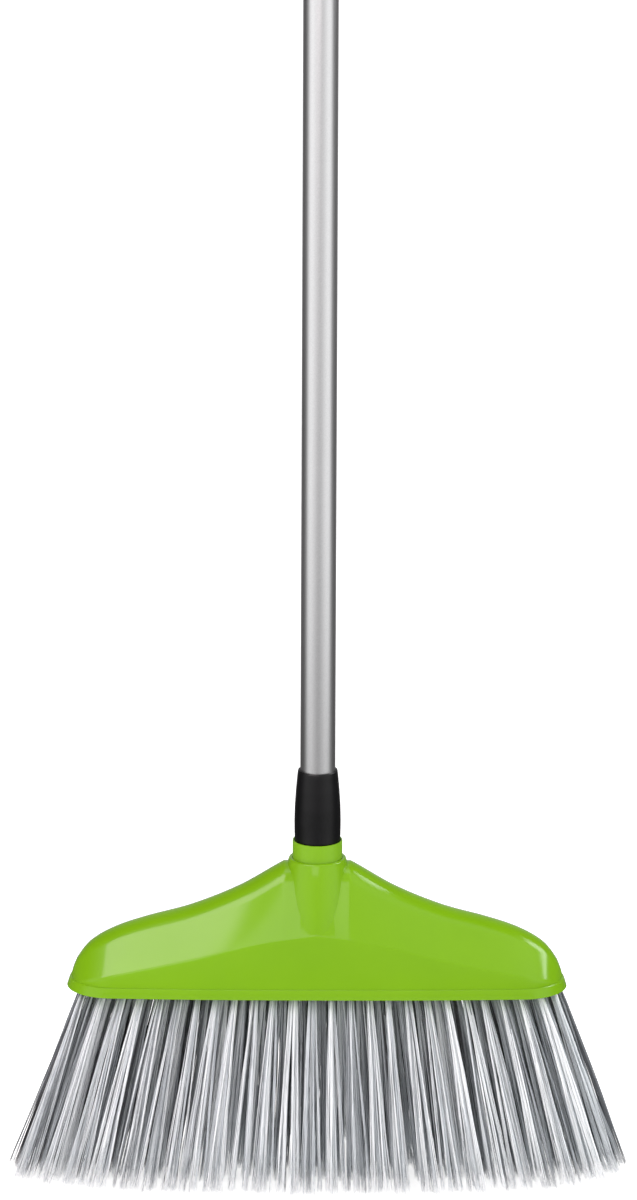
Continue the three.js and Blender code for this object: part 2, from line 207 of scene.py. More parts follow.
def height_at(points, x):
    """A smooth curve through (x, height) points, read at any x."""
    last = len(points) - 1

    def slope(i):
        before, after = points[max(i - 1, 0)], points[min(i + 1, last)]
        return (after[1] - before[1]) / (after[0] - before[0])

    i = 0
    while i < last - 1 and x > points[i + 1][0]:
        i += 1
    (x0, y0), (x1, y1) = points[i], points[i + 1]
    span = x1 - x0
    t = min(max((x - x0) / span, 0.0), 1.0)
    rise = (2 * t**3 - 3 * t**2 + 1) * y0 + (3 * t**2 - 2 * t**3) * y1
    return rise + span * ((t**3 - 2 * t**2 + t) * slope(i) + (t**3 - t**2) * slope(i + 1))


def rim_half_depth(x):
    """Half the depth of the cover's rim at a place along it."""
    along = abs(x) / HALF_LENGTH
    into = max(0.0, abs(x) - (HALF_LENGTH - END_ROUND)) / END_ROUND
    return (RIM_HALF_DEPTH - RIM_BOW * along**RIM_BOW_POWER) * math.sqrt(max(0.0, 1 - into**2))


def field_half_depth(x):
    """Half the depth of the bristles' field at the floor."""
    along = min(1.0, abs(x) / FIELD_HALF_LENGTH)
    return FIELD_HALF_DEPTH * (1 - along**FIELD_POWER) ** 0.5


def add_object(name, data):
    obj = bpy.data.objects.new(name, data)
    SCENE.collection.objects.link(obj)
    return obj


def piece(name, verts, faces, material, body, smooth_below=35.0):
    """A mesh in millimetres as a named piece that rides on a CAD body."""
    mesh = bpy.data.meshes.new(name)
    mesh.from_pydata([tuple(c * MM for c in v) for v in verts], [], faces)
    mesh.validate()
    obj = add_object(name, mesh)
    finish_mesh(mesh, smooth_below)
    mesh.materials.append(material)
    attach(obj, body)
    return obj


def finish_mesh(mesh, smooth_below):
    """Turns all faces outwards, and shades them smooth except across edges past the given angle."""
    bm = bmesh.new()
    bm.from_mesh(mesh)
    bmesh.ops.recalc_face_normals(bm, faces=bm.faces)
    bm.to_mesh(mesh)
    bm.free()
    mesh.shade_smooth()
    mesh.set_sharp_from_angle(angle=math.radians(smooth_below))


def loft(rings, close_ends=True):
    """Vertices and faces of a skin through closed rings of the same number of points."""
    count = len(rings[0])
    verts = [p for ring in rings for p in ring]
    faces = []
    for r in range(len(rings) - 1):
        low, high = r * count, (r + 1) * count
        for i in range(count):
            j = (i + 1) % count
            faces.append((low + i, low + j, high + j, high + i))
    if close_ends:
        faces.append(tuple(reversed(range(count))))
        faces.append(tuple(range((len(rings) - 1) * count, len(rings) * count)))
    return verts, faces


def looped_loft(rings):
    """A skin through rings that goes on from the last one to the first."""
    verts, faces = loft(rings + rings[:1], close_ends=False)
    count = len(rings) * len(rings[0])
    return verts[:count], [tuple(i % count for i in face) for face in faces]


def ellipse(wide, deep, z, sides):
    turns = (2 * math.pi * i / sides for i in range(sides))
    return [(wide * math.cos(a), deep * math.sin(a), z) for a in turns]


def circle(radius, z, sides):
    return ellipse(radius, radius, z, sides)


def rounded(points, radii, steps=5):
    """A polyline with a curve of the given radius at each inner corner, in a fixed number of points."""
    out = [Vector(points[0])]
    for before, here, after, radius in zip(points, points[1:], points[2:], radii):
        before, here, after = Vector(before), Vector(here), Vector(after)
        into, out_of = (here - before), (after - here)
        bend = into.angle(out_of, 0.0) / 2
        cut = min(radius * math.tan(bend), into.length * 0.45, out_of.length * 0.45)
        start = here - into.normalized() * cut
        end = here + out_of.normalized() * cut
        for i in range(steps + 1):
            t = i / steps
            out.append(start.lerp(here, t).lerp(here.lerp(end, t), t))
    out.append(Vector(points[-1]))
    return out


def lathe(profile, sides=96):
    """A body turned round Z. Its (radius, z) profile closes on itself, or starts and ends on the axis."""
    closed = profile[0][0] > 1e-6
    if closed:
        return looped_loft([circle(r, z, sides) for r, z in profile])
    verts, faces = loft([circle(r, z, sides) for r, z in profile[1:-1]], close_ends=False)
    verts += [(0, 0, profile[0][1]), (0, 0, profile[-1][1])]
    foot, head = len(verts) - 2, len(verts) - 1
    last = (len(profile) - 3) * sides
    for i in range(sides):
        j = (i + 1) % sides
        faces.append((foot, j, i))
        faces.append((head, last + i, last + j))
    return verts, faces


def combined(obj, other, operation):
    """Joins or cuts obj with another object and removes that one."""
    modifier = obj.modifiers.new("combine", "BOOLEAN")
    modifier.operation = operation
    modifier.solver = "EXACT"
    modifier.object = other
    graph = bpy.context.evaluated_depsgraph_get()
    mesh = bpy.data.meshes.new_from_object(obj.evaluated_get(graph))
    obj.modifiers.clear()
    old, obj.data = obj.data, mesh
    mesh.name = obj.name
    bpy.data.meshes.remove(old)
    bpy.data.objects.remove(other)


# ---------------------------------------------------------------- materials

def new_material(name, **values):
    """A Principled material, its node tree and its shader, with the given constants on its sockets."""
    material = bpy.data.materials.new(name)
    material.use_nodes = True
    shader = material.node_tree.nodes["Principled BSDF"]
    for socket, value in values.items():
        shader.inputs[socket.replace("_", " ")].default_value = value
    return material, material.node_tree, shader


def add_noise(tree, scale, detail=3.0, stretch=(1, 1, 1), roughness=0.5):
    """Noise in the object's own metres, stretched along its axes."""
    place = tree.nodes.new("ShaderNodeTexCoord")
    mapping = tree.nodes.new("ShaderNodeMapping")
    mapping.inputs["Scale"].default_value = stretch
    texture = tree.nodes.new("ShaderNodeTexNoise")
    texture.inputs["Scale"].default_value = scale
    texture.inputs["Detail"].default_value = detail
    texture.inputs["Roughness"].default_value = roughness
    tree.links.new(place.outputs["Object"], mapping.inputs["Vector"])
    tree.links.new(mapping.outputs["Vector"], texture.inputs["Vector"])
    return texture.outputs["Fac"]


def add_ramp(tree, factor, *stops):
    """A colour ramp of (position, colour) stops."""
    ramp = tree.nodes.new("ShaderNodeValToRGB")
    elements = ramp.color_ramp.elements
    while len(elements) < len(stops):
        elements.new(0.5)
    for element, (position, colour) in zip(elements, stops):
        element.position = position
        element.color = colour
    tree.links.new(factor, ramp.inputs["Fac"])
    return ramp.outputs["Color"]


def add_range(tree, factor, low, high):
    """Maps a 0 to 1 factor onto low to high."""
    remap = tree.nodes.new("ShaderNodeMapRange")
    remap.inputs["To Min"].default_value = low
    remap.inputs["To Max"].default_value = high
    tree.links.new(factor, remap.inputs["Value"])
    return remap.outputs["Result"]


def add_bump(tree, shader, height, distance):
    """A relief of so many metres at most."""
    bump = tree.nodes.new("ShaderNodeBump")
    bump.inputs["Strength"].default_value = 1.0
    bump.inputs["Distance"].default_value = distance
    tree.links.new(height, bump.inputs["Height"])
    tree.links.new(bump.outputs["Normal"], shader.inputs["Normal"])


def add_drift(tree, shader, factor, deep, light):
    """A base colour that drifts between two close ones."""
    tree.links.new(add_ramp(tree, factor, (0.3, deep), (0.7, light)), shader.inputs["Base Color"])


def moulded_green(name, roughness, shade=1.0):
    """Glossy moulded plastic: its colour drifts with the flow, and its gloss has a faint orange peel."""
    material, tree, shader = new_material(name, IOR=1.49, Specular_IOR_Level=0.34)
    deep = shaded(linear(109, 157, 12), shade)
    light = shaded(linear(113, 161, 13), shade)
    add_drift(tree, shader, add_noise(tree, 18.0, 4.0), deep, light)
    haze = add_noise(tree, 60.0, 3.0)
    tree.links.new(add_range(tree, haze, roughness * 0.8, roughness * 1.2), shader.inputs["Roughness"])
    add_bump(tree, shader, add_noise(tree, 900.0, 3.0, roughness=0.7), 0.000012)
    return material


def satin_black(name, roughness=0.34, shade=1.0):
    """Black moulded plastic with a fine spark-eroded grain."""
    material, tree, shader = new_material(name, IOR=1.41)
    deep = shaded(linear(2, 2, 3), shade)
    light = shaded(linear(7, 6, 9), shade)
    add_drift(tree, shader, add_noise(tree, 90.0, 4.0), deep, light)
    haze = add_noise(tree, 260.0, 2.0)
    tree.links.new(add_range(tree, haze, roughness * 0.9, roughness * 1.12), shader.inputs["Roughness"])
    add_bump(tree, shader, add_noise(tree, 2600.0, 2.0), 0.00003)
    return material


def satin_metal(name):
    """Silver lacquered tube: a very fine speckle, and faint drawing lines along its length."""
    material, tree, shader = new_material(name, Metallic=1.0)
    speckle = add_noise(tree, 1500.0, 2.0, roughness=0.7)
    add_drift(tree, shader, speckle, linear(222, 222, 223), linear(234, 234, 235))
    lines = add_noise(tree, 700.0, 3.0, stretch=(1, 1, 0.01))
    tree.links.new(add_range(tree, lines, 0.27, 0.37), shader.inputs["Roughness"])
    add_bump(tree, shader, add_noise(tree, 1800.0, 2.0), 0.000008)
    return material


def bristle_material(name):
    """Synthetic filament of a grey of its own with a paler end; in the inner rows that grey also holds
    painted shade. U is the grey, and V runs to the tip.
    """
    material, tree, shader = new_material(name, Roughness=0.42, IOR=1.48, Specular_IOR_Level=0.4)
    place = tree.nodes.new("ShaderNodeUVMap")
    place.uv_map = FILAMENT_MAP
    split = tree.nodes.new("ShaderNodeSeparateXYZ")
    tree.links.new(place.outputs["UV"], split.inputs["Vector"])
    body = add_ramp(tree, split.outputs["X"], (0.0, linear(52, 49, 50)), (0.3, linear(122, 126, 131)),
                    (0.65, linear(200, 206, 211)), (1.0, linear(248, 251, 253)))
    tip = add_ramp(tree, split.outputs["Y"], (0.0, (0, 0, 0, 1)), (0.9, (0, 0, 0, 1)),
                   (1.0, (0.65, 0.65, 0.65, 1)))
    mix = tree.nodes.new("ShaderNodeMix")
    mix.data_type = "RGBA"
    tree.links.new(tip, mix.inputs["Factor"])
    tree.links.new(body, mix.inputs[6])
    mix.inputs[7].default_value = linear(250, 250, 251)
    tree.links.new(mix.outputs[2], shader.inputs["Base Color"])
    return material


FILAMENT_MAP = "filament"
GREEN = moulded_green("moulded_green", 0.16)
BLOCK_GREEN = moulded_green("block_green", 0.3, 1.02)
BLACK = satin_black("ferrule_black")
INNER_BLACK = satin_black("adapter_black", 0.5, 0.8)
METAL = satin_metal("silver_tube")
BRISTLE = bristle_material("bristle_grey")


# ---------------------------------------------------------------- head cover

def section(x):
    """Half of the body's cross-section as (depth, z), from the middle of its foot up to the ridge."""
    away = abs(x)
    depth = max(rim_half_depth(away * HALF_LENGTH / BODY_HALF_LENGTH) - LIP_STEP, BODY_LEAST_DEPTH)
    squeeze = depth / RIM_HALF_DEPTH
    ridge = min(height_at(CREST, away), SHROUD_TOP_Z - RIDGE_DROP)
    crease = max(min(height_at(CREASE, away), ridge - CREASE_DROP), BODY_FOOT_Z + CREASE_LEAST_RISE)
    crease_depth = depth - WALL_DRAFT * squeeze * (crease - BODY_FOOT_Z) / (CREASE[0][1] - BODY_FOOT_Z)
    radius = min(RIDGE_RADIUS, crease_depth * 0.6, (ridge - crease) * 0.9)
    middle = ridge - radius
    span = Vector((crease_depth, middle - crease))
    lean = math.atan2(span.y, span.x) + math.asin(min(radius / span.length, 1.0))
    turns = [lean * (1 - i / RIDGE_STEPS) for i in range(RIDGE_STEPS + 1)]
    arc = [(radius * math.sin(a), middle + radius * math.cos(a)) for a in turns]
    corners = [(0.0, BODY_FOOT_Z), (depth, BODY_FOOT_Z), (crease_depth, crease), arc[0]]
    wall = rounded(corners, [FOOT_RADIUS * squeeze, CREASE_RADIUS * squeeze])
    return wall + [Vector(p) for p in arc[1:]]


def stations(half, end_round, steps=80, end_steps=22):
    """Places along X: evenly spread, then closer round the ends, and stopping just short of them."""
    straight = half - end_round
    last_turn = math.radians(88)
    inner = [straight * i / steps for i in range(steps)]
    outer = [straight + end_round * math.sin(last_turn * i / end_steps) for i in range(end_steps + 1)]
    right = inner + outer
    return [-x for x in reversed(right[1:])] + right


def body_rings():
    rings = []
    for x in stations(BODY_HALF_LENGTH, END_ROUND):
        half = section(x)
        front = [(x, -d, z) for d, z in half]
        back = [(x, d, z) for d, z in half[1:-1]]
        rings.append(front + back[::-1])
    return rings


def lip_rings():
    """The band that runs all round the cover's foot, with rounded edges."""
    top = RIM_Z + LIP_HEIGHT
    # Each level is (inset of the sides, inset of the ends, z).
    levels = ((0.5, 0.5, RIM_Z),
              (0.12, 0.12, RIM_Z + 0.15),
              (0.0, 0.0, RIM_Z + 0.5),
              (LIP_STEP * 0.75, LIP_END_SLANT * 0.8, top - 0.9),
              (LIP_STEP, LIP_END_SLANT, top - 0.2),
              (LIP_STEP + 0.2, LIP_END_SLANT + 0.2, top - 0.03),
              (WALL, LIP_END_SLANT + 1.6, top + 0.05))
    rim = [(x, max(rim_half_depth(x), LIP_LEAST_DEPTH)) for x in stations(HALF_LENGTH, END_ROUND)]
    rings = []
    for inset, end_inset, z in levels:
        narrow = 1 - inset / RIM_HALF_DEPTH
        short = 1 - end_inset / HALF_LENGTH
        front = [(x * short, -depth * narrow, z) for x, depth in rim]
        rings.append(front + [(x, -y, z) for x, y, z in reversed(front)])
    return rings


def recess_rings():
    """The hollow under the cover that takes the plate."""
    low, top = RECESS_LOW_Z, RECESS_TOP_Z
    half = HALF_LENGTH - WALL
    rings = []
    for x in stations(half, END_ROUND - WALL, 40, 14):
        depth = max(rim_half_depth(x * HALF_LENGTH / half) - WALL, RECESS_LEAST_DEPTH)
        rings.append([(x, -depth, low), (x, depth, low), (x, depth, top), (x, -depth, top)])
    return rings


def shroud_rings(sides=120, steps=16):
    """The collar that stands out of the cover round the neck, with the hole for the neck."""
    rings = []
    for s in range(steps + 1):
        down = 1 - s / steps
        wide = lerp(SHROUD_TOP_RADIUS, SHROUD_FOOT_HALF_WIDTH, down**SHROUD_FLARE)
        deep = lerp(SHROUD_TOP_RADIUS, SHROUD_FOOT_HALF_DEPTH, down**SHROUD_FLARE)
        z = lerp(SHROUD_TOP_Z - SHROUD_ROUND, SHROUD_FOOT_Z, down)
        rings.append(ellipse(wide, deep, z, sides))
    for degrees in (20, 40, 60, 80):
        turn = math.radians(degrees)
        inset = SHROUD_ROUND * (1 - math.cos(turn))
        drop = SHROUD_ROUND * (1 - math.sin(turn))
        rings.append(circle(SHROUD_TOP_RADIUS - inset, SHROUD_TOP_Z - drop, sides))
    hole = NECK_RADIUS + SHROUD_PLAY
    rings.append(circle(hole + SHROUD_CHAMFER, SHROUD_TOP_Z, sides))
    rings.append(circle(hole, SHROUD_TOP_Z - SHROUD_CHAMFER, sides))
    rings.append(circle(hole, NECK_LOW_Z - 4, sides))
    return rings


def neck_shaft_rings():
    """The shaft that is cut out of the body, where the neck goes."""
    return [circle(NECK_RADIUS - 1, z, 64) for z in (NECK_LOW_Z - 5, SHROUD_TOP_Z + 9)]


def make_head_cover():
    cover = piece("green_cover", *loft(body_rings()), GREEN, "head")
    steps = (("lip", lip_rings, "UNION"), ("shaft", neck_shaft_rings, "DIFFERENCE"),
             ("shroud", shroud_rings, "UNION"), ("recess", recess_rings, "DIFFERENCE"))
    for name, rings, operation in steps:
        combined(cover, piece(name, *loft(rings()), GREEN, "head"), operation)
    finish_mesh(cover.data, 28.0)
    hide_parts("head_cover")


# ---------------------------------------------------------------- neck, thread and tuft plate

def thread_radius(turn, z, play):
    """The thread's radius at a place: it winds up with the turn, with slanted flanks."""
    share = (z / PITCH - turn / (2 * math.pi)) % 1.0
    if share < THREAD_PROFILE[0][0]:
        share += 1
    for (start, low), (end, high) in zip(THREAD_PROFILE, THREAD_PROFILE[1:]):
        if share < end:
            rise = lerp(low, high, (share - start) / (end - start))
            return THREAD_CORE + play + (THREAD_CREST - THREAD_CORE) * rise


def thread_rings(low, high, play, flat_at_top):
    """A thread from low to high. With no play it is the spigot's and starts gently, else the neck's."""
    rings = []
    count = int((high - low) / THREAD_STEP)
    for k in range(count + 1):
        z = lerp(low, high, k / count)
        keep = smoothstep(low, low + THREAD_LEAD, z) if play == 0 else 1.0
        keep *= 1 - smoothstep(high - flat_at_top, high, z)
        plain = THREAD_CORE if play == 0 else THREAD_CREST + play
        ring = []
        for i in range(THREAD_SIDES):
            turn = 2 * math.pi * i / THREAD_SIDES
            radius = lerp(plain, thread_radius(turn, z, play), keep)
            ring.append((radius * math.cos(turn), radius * math.sin(turn), z))
        rings.append(ring)
    return rings


def make_neck():
    """The block's neck: it stands out of the shroud, with a recess for the ferrule and a thread."""
    top = NECK_TOP_Z
    recess = NECK_RADIUS - NECK_LIP
    recess_z = top - NECK_RECESS
    outside = [(NECK_RADIUS, NECK_LOW_Z), (NECK_RADIUS, top - 0.4), (NECK_RADIUS - 0.12, top - 0.12),
               (NECK_RADIUS - 0.4, top), (recess + 0.25, top), (recess, top - 0.25),
               (recess, recess_z + 0.2), (recess - 0.3, recess_z)]
    inside = thread_rings(NECK_LOW_Z, recess_z, THREAD_PLAY, 1.2)
    rings = [circle(r, z, THREAD_SIDES) for r, z in outside] + inside[::-1]
    neck = piece("neck", *looped_loft(rings), BLOCK_GREEN, "head", 40.0)
    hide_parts("tuft_block")


def tuft_place(row, tuft):
    """(root, tip) of a tuft's centre line. Each row is staggered along X against its neighbours."""
    side = row - (ROWS - 1) / 2
    away = int(abs(side))
    along = (2 * (tuft + 0.5 + ROW_STAGGERS[row]) / TUFTS) - 1
    root_x = along * ROOT_HALF_LENGTHS[away]
    tip_x = along * TIP_HALF_LENGTHS[away]
    root_y = side / 2 * (rim_half_depth(root_x * ROOT_SHORTENING) - ROOT_INSET)
    tip_y = side / 2 * (field_half_depth(tip_x) - TIP_INSET)
    return Vector((root_x, root_y, PLATE_LOW_Z)), Vector((tip_x, tip_y, 0.0))


def plate_edge(count=40):
    """The plate's outline, a little inside the cover's wall."""
    half = HALF_LENGTH - WALL - PLATE_END_PLAY
    edge = []
    for i in range(-count, count + 1):
        x = half * math.sin(math.pi / 2 * i / count)
        edge.append((x, -max(rim_half_depth(x) - WALL - PLATE_SIDE_PLAY, PLATE_LEAST_DEPTH)))
    return edge + [(x, -y) for x, y in reversed(edge)]


def plate_face():
    """The plate's flat face as (points, triangles), with a round hole for every tuft."""
    points = [Vector(p) for p in plate_edge()]
    loops = [list(range(len(points)))]
    roots = [tuft_place(row, tuft)[0].xy for row in range(ROWS) for tuft in range(TUFTS)]
    for root in roots:
        start = len(points)
        for x, y, _ in circle(TUFT_HOLE_RADIUS, 0, TUFT_HOLE_SIDES):
            points.append(Vector((root.x + x, root.y + y)))
        loops.append(list(range(start, len(points)))[::-1])
    flat, _, triangles, _, _, _ = delaunay_2d_cdt(points, [], loops, 1, 1e-6)

    def is_hole(triangle):
        centre = sum((flat[i] for i in triangle), Vector((0, 0))) / len(triangle)
        return any((centre - root).length < TUFT_HOLE_REACH for root in roots)

    return flat, [triangle for triangle in triangles if not is_hole(triangle)]


def make_plate():
    """The plate that closes the cover: its flat face, made as thick as it is."""
    flat, triangles = plate_face()
    bm = bmesh.new()
    verts = [bm.verts.new((p.x * MM, p.y * MM, PLATE_LOW_Z * MM)) for p in flat]
    for triangle in triangles:
        bm.faces.new([verts[i] for i in triangle])
    grown = bmesh.ops.extrude_face_region(bm, geom=bm.faces[:])
    moved = [v for v in grown["geom"] if isinstance(v, bmesh.types.BMVert)]
    bmesh.ops.translate(bm, verts=moved, vec=(0, 0, PLATE_THICKNESS * MM))
    bmesh.ops.delete(bm, geom=[v for v in bm.verts if not v.link_faces], context="VERTS")
    mesh = bpy.data.meshes.new("tuft_plate")
    bm.to_mesh(mesh)
    bm.free()
    finish_mesh(mesh, 35.0)
    mesh.materials.append(BLOCK_GREEN)
    plate = add_object("tuft_plate", mesh)
    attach(plate, "head")


# ---------------------------------------------------------------- bristles

# A tuft is a bundle of clumps, and a clump is a few filaments that keep together.
FILAMENTS = 70
CLUMPS = 14
FILAMENT_SIDES = 3
FILAMENT_SEGMENTS = 7
SPLIT_ENDS = 2
ROOT_DEPTH = 1.5
CLUMP_ROOT_SPREAD = 1.6
CLUMP_TIP_SPREAD = (7.5, 5.5)
CLUMP_BOW = 0.8
# Drawn at random for each filament, as (least, most): its wave, its radius and where its end splits.
FILAMENT_WAVE = (0.1, 0.4)
FILAMENT_RADIUS = (0.24, 0.34)
FILAMENT_SPLIT = (0.87, 0.97)
# How far above the floor a tuft, a clump in it and a filament in that may end, one on top of the other.
TUFT_LIFT = 0.8
CLUMP_LIFT = 3
FILAMENT_LIFT = 2
# How bright the tufts of each row are, as (least, most), and by how much a clump may differ. The inner
# rows are darker partly because their filaments are a darker mix, partly as painted shade of the shadowed
# inside of the field.
ROW_GREYS_AND_PAINTED_SHADE = ((0.88, 1.0), (0.55, 0.9), (0.25, 0.65), (0.55, 0.9), (0.88, 1.0))
CLUMP_TONES = (-0.5, -0.25, -0.1, 0.0, 0.04, 0.08)


class Strands:
    """Gathers many thin tapering prisms, with a shade and a place along the filament for each corner."""

    def __init__(self):
        self.verts, self.faces, self.maps = [], [], []

    def add(self, path, radii, shade, along):
        base = len(self.verts)
        self.add_points(path, radii)
        for k in range(len(path) - 1):
            low, high = base + k * FILAMENT_SIDES, base + (k + 1) * FILAMENT_SIDES
            here, ahead = (shade, along[k]), (shade, along[k + 1])
            for i in range(FILAMENT_SIDES):
                j = (i + 1) % FILAMENT_SIDES
                self.faces.append((low + i, low + j, high + j, high + i))
                self.maps.append((here, here, ahead, ahead))
        self.faces.append(tuple(base + i for i in reversed(range(FILAMENT_SIDES))))
        self.maps.append(((shade, along[0]),) * FILAMENT_SIDES)
        last = base + (len(path) - 1) * FILAMENT_SIDES
        self.faces.append(tuple(last + i for i in range(FILAMENT_SIDES)))
        self.maps.append(((shade, along[-1]),) * FILAMENT_SIDES)

    def add_points(self, path, radii):
        """The prism's corners round each point of its path."""
        for k, point in enumerate(path):
            ahead = path[min(k + 1, len(path) - 1)] - path[max(k - 1, 0)]
            across = ahead.cross(Vector((0, 1, 0.01))).normalized()
            other = ahead.cross(across).normalized()
            for i in range(FILAMENT_SIDES):
                turn = 2 * math.pi * i / FILAMENT_SIDES
                self.verts.append(point + (across * math.cos(turn) + other * math.sin(turn)) * radii[k])

    def build(self, name):
        mesh = bpy.data.meshes.new(name)
        mesh.from_pydata([v * MM for v in self.verts], [], self.faces)
        layer = mesh.uv_layers.new(name=FILAMENT_MAP)
        layer.data.foreach_set("uv", [c for corners in self.maps for uv in corners for c in uv])
        mesh.shade_smooth()
        mesh.materials.append(BRISTLE)
        obj = add_object(name, mesh)
        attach(obj, "head")
        return obj


def disc(draw, radius):
    """A random offset inside a circle."""
    turn, out = draw.uniform(0, 2 * math.pi), radius * math.sqrt(draw.random())
    return Vector((out * math.cos(turn), out * math.sin(turn), 0))


def add_filament(strands, draw, root, tip, shade, bow):
    """One filament: it leaves its hole with the others, waves a little, then splits into fine ends."""
    path, radii, along = [], [], []
    wave = draw.uniform(*FILAMENT_WAVE)
    phase = draw.uniform(0, 6.28)
    radius = draw.uniform(*FILAMENT_RADIUS)
    body_end = draw.uniform(*FILAMENT_SPLIT)
    for k in range(FILAMENT_SEGMENTS + 1):
        t = body_end * k / FILAMENT_SEGMENTS
        spread = t**0.95
        point = Vector((lerp(root.x, tip.x, spread), lerp(root.y, tip.y, spread), lerp(root.z, tip.z, t)))
        sway = wave * math.sin(phase + 9 * t) * min(1, 3 * t)
        point += Vector((sway, 0.6 * sway, 0)) + bow * math.sin(math.pi * t)
        path.append(point)
        radii.append(radius * lerp(1, 0.85, t))
        along.append(t)
    strands.add(path, radii, shade, along)
    fine_radii = [radius * 0.62, radius * 0.5, radius * 0.2]
    for _ in range(SPLIT_ENDS):
        end = Vector(tip) + disc(draw, 0.8)
        middle = path[-1].lerp(end, 0.5) + disc(draw, 0.2)
        fine_path = [path[-1] + disc(draw, 0.1), middle, end]
        strands.add(fine_path, fine_radii, shade, [body_end, 0.95, 1.0])


def add_tuft(strands, draw, row, tuft):
    """One tuft: its clumps lean apart, differ in tone and end at heights of their own."""
    root, tip = tuft_place(row, tuft)
    # The row's grey: in the inner rows it is partly a darker filament mix, partly painted shade of the
    # field's shadowed inside.
    row_grey_and_shade = draw.uniform(*ROW_GREYS_AND_PAINTED_SHADE[row])
    lift = draw.uniform(0, TUFT_LIFT)
    for _ in range(CLUMPS):
        lean = disc(draw, 1.0)
        clump_tip = tip + Vector((lean.x * CLUMP_TIP_SPREAD[0], lean.y * CLUMP_TIP_SPREAD[1], 0))
        clump_root = root + lean * CLUMP_ROOT_SPREAD + disc(draw, 0.6)
        tone = row_grey_and_shade + draw.choice(CLUMP_TONES)
        bow = Vector((draw.uniform(-CLUMP_BOW, CLUMP_BOW), draw.uniform(-CLUMP_BOW, CLUMP_BOW), 0))
        clump_lift = lift + CLUMP_LIFT * draw.random() ** 2
        for _ in range(FILAMENTS // CLUMPS):
            start = clump_root + disc(draw, 0.8) + Vector((0, 0, ROOT_DEPTH))
            end = clump_tip + disc(draw, 1.0)
            end += Vector((0, 0, clump_lift + FILAMENT_LIFT * draw.random() ** 2))
            shade = min(max(tone + draw.uniform(-0.12, 0.06), 0.02), 0.98)
            add_filament(strands, draw, start, end, shade, bow)


def make_bristles():
    for row in range(ROWS):
        draw = random.Random(100 + row)
        strands = Strands()
        for tuft in range(TUFTS):
            add_tuft(strands, draw, row, tuft)
        bristles = strands.build(f"bristles_row_{row + 1}")
        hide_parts(*(f"tufts_row_{row + 1}_group_{g + 1}" for g in range(GROUPS)))


# ---------------------------------------------------------------- ferrule, handle and cap

def make_ferrule():
    """The black sleeve: a barrel that narrows up to the tube, with a narrower bore at its foot."""
    bore = TUBE_RADIUS + SLEEVE_PLAY
    low, top = SLEEVE_LOW_Z, SLEEVE_TOP_Z
    outline = [(SLEEVE_FOOT_BORE, low), (13.7, low), (14.2, low + 0.6),
               (14.45, low + 6), (14.55, low + 14), (14.3, low + 24),
               (13.6, low + 35), (12.75, top - 3), (12.45, top - 0.9)]
    barrel = [tuple(p) for p in rounded(outline, [0.3, 2, 20, 20, 20, 20, 8], 6)]
    rim = [(12.3, top - 0.25), (12.0, top), (bore + 0.3, top), (bore, top - 0.3)]
    step = [(bore, low + SLEEVE_FOOT_DEPTH), (SLEEVE_FOOT_BORE, low + SLEEVE_FOOT_DEPTH - 1)]
    ferrule = piece("ferrule", *lathe(barrel + rim + step), BLACK, "ferrule", 50.0)
    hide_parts("ferrule_sleeve")


def make_tube():
    inner = TUBE_RADIUS - TUBE_WALL
    low, top = TUBE_LOW_Z, TUBE_TOP_Z
    rise = [(TUBE_RADIUS, lerp(low, top, i / TUBE_STEPS)) for i in range(TUBE_STEPS + 1)]
    fall = [(inner, lerp(top, low, i / TUBE_STEPS)) for i in range(TUBE_STEPS + 1)]
    tube = piece("tube", *lathe(rise + fall), METAL, "handle", 50.0)
    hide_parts("handle_tube")


def make_adapter():
    """The plug in the tube's end with its threaded spigot, which shows when the handle is unscrewed."""
    foot = THREAD_LOW_Z
    shank_low = SLEEVE_LOW_Z + 1
    shank_top = SLEEVE_LOW_Z + SLEEVE_FOOT_DEPTH
    collar_top = TUBE_LOW_Z - 0.3
    plug_top = TUBE_LOW_Z + PLUG_LENGTH
    plug_radius = TUBE_RADIUS - TUBE_WALL - PLUG_PLAY
    below = [(SPIGOT_BORE_RADIUS, foot + SPIGOT_BORE_DEPTH), (SPIGOT_BORE_RADIUS, foot + 0.4),
             (SPIGOT_BORE_RADIUS + 0.4, foot), (THREAD_CORE - 0.8, foot)]
    above = [(THREAD_CREST, shank_low + 0.5), (THREAD_CREST, shank_top), (TUBE_RADIUS, shank_top + 0.3),
             (TUBE_RADIUS, collar_top), (plug_radius, collar_top),
             (plug_radius, plug_top - PLUG_CHAMFER_LENGTH), (plug_radius - PLUG_CHAMFER_DEPTH, plug_top)]
    rings = [circle(r, z, THREAD_SIDES) for r, z in below]
    rings += thread_rings(foot + 0.6, shank_low, 0, 3)
    rings += [circle(r, z, THREAD_SIDES) for r, z in above]
    adapter = piece("adapter", *loft(rings), INNER_BLACK, "handle", 40.0)
    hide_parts("thread_adapter")


def make_cap():
    """The hanging cap: a round skirt that narrows to a flat eye, melted together and smoothed."""
    bore = TUBE_RADIUS + CAP_PLAY
    shoulder = TUBE_TOP_Z + 3
    centre = CAP_TOP_Z - CAP_RADIUS
    socket = [(0, TUBE_TOP_Z + 0.2), (bore, TUBE_TOP_Z + 0.2), (bore, CAP_LOW_Z)]
    skirt = [(CAP_RADIUS - 0.5, CAP_LOW_Z), (CAP_RADIUS - 0.1, CAP_LOW_Z + 0.3),
             (CAP_RADIUS, CAP_LOW_Z + 0.8), (CAP_RADIUS, shoulder)]
    turns = (math.pi / 2 * i / CAP_DOME_STEPS for i in range(CAP_DOME_STEPS))
    dome = [(CAP_RADIUS * math.cos(a), centre + CAP_RADIUS * math.sin(a)) for a in turns]
    cap = piece("cap", *lathe(socket + skirt + dome + [(0, CAP_TOP_Z)], 72), BLACK, "handle", 50.0)
    for side in (-1, 1):
        combined(cap, cheek_cutter(side, shoulder), "DIFFERENCE")
    combined(cap, hole_cutter(), "DIFFERENCE")
    melted(cap, CAP_CELL, 8)
    finish_mesh(cap.data, 60.0)
    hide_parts("hang_cap")


